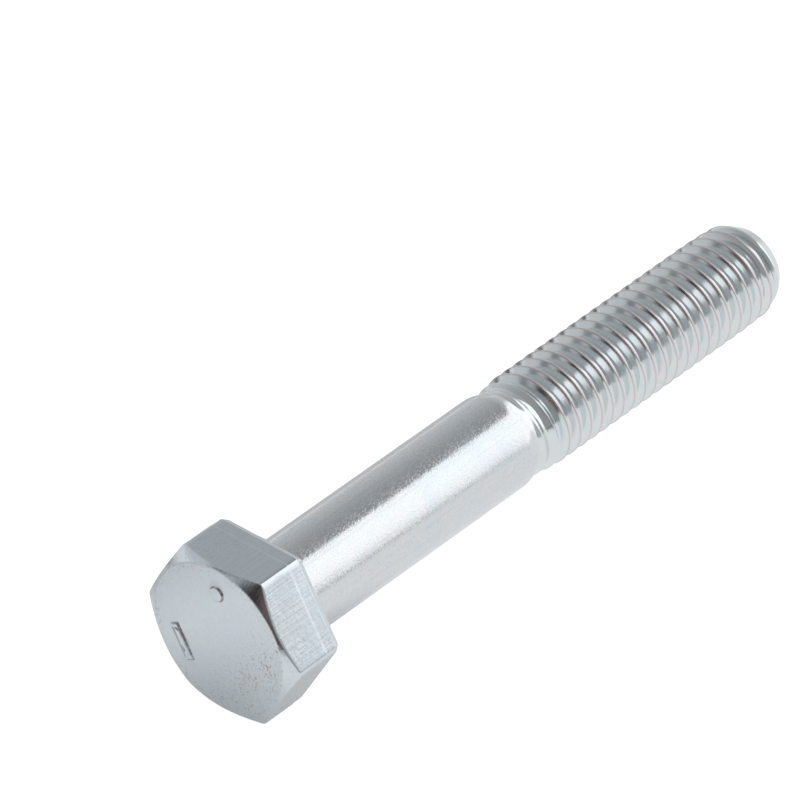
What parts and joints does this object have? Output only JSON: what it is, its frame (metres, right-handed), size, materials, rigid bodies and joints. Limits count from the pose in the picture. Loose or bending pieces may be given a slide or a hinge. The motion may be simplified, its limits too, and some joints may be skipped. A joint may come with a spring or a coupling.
{
  "type": "hex bolt",
  "caption": "Partly threaded metric hex head bolt in zinc-plated steel, with a plain shank, a washer-faced head and a chamfered thread end.",
  "frame": {"origin": "centre of the bearing face under the head", "axes": "+X along the bolt from the head to the thread end, +Z square to the head's upper flat, +Y to a corner of the head"},
  "size_m": [0.0605, 0.0148, 0.0128],
  "materials": {
    "zinc_plated_steel": "bright zinc plate with a clear blue passivate"
  },
  "bodies": {
    "root": {"hex_bolt": "zinc_plated_steel"}
  },
  "joints": []
}
